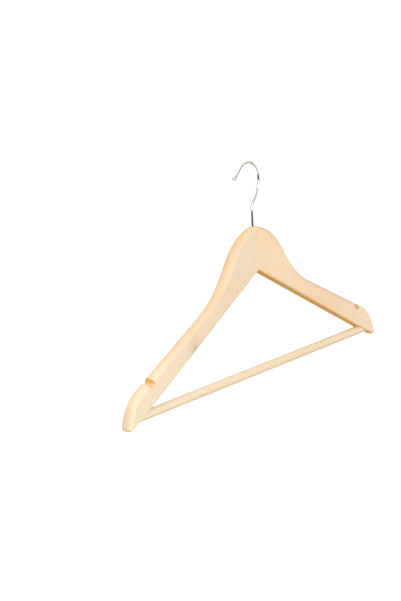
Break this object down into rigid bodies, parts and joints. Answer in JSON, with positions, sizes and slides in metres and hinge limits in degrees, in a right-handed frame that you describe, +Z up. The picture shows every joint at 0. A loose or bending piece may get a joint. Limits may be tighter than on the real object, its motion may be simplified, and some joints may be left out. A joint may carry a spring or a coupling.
{
  "type": "wooden clothes hanger",
  "caption": "Flat pale wooden clothes hanger with contoured shoulders, strap notches, a round trouser bar and a swivelling bent-wire hook.",
  "frame": {"origin": "where the hook's swivel axis meets the underside of the hook's loop, the point that rests on the rail", "axes": "+X along the hanger towards the arm away from the hook's mouth, +Y from the front face to the back, +Z up the hook's stem"},
  "size_m": [0.44, 0.012, 0.217],
  "materials": {
    "arm_wood": "pale close-grained hardwood under thin clear satin lacquer",
    "bar_wood": "pale turned hardwood under thin clear lacquer",
    "dowel_wood": "bare hardwood, glued",
    "hook_chrome": "polished chrome plate on steel wire",
    "bush_brass": "plain turned brass",
    "brad_steel": "bright drawn steel"
  },
  "bodies": {
    "hook": {"hook": "hook_chrome"},
    "wooden_body": {"left_arm": "arm_wood", "right_arm": "arm_wood", "joint_dowel_upper": "dowel_wood", "joint_dowel_lower": "dowel_wood", "trouser_bar": "bar_wood", "bar_brad_left": "brad_steel", "bar_brad_right": "brad_steel", "hook_bush": "bush_brass"}
  },
  "joints": [
    {"name": "hook_swivel", "type": "hinge", "parent": "hook", "child": "wooden_body", "pos_m": [0, 0, -0.07], "axis": [0, 0, 1], "continuous": true}
  ]
}
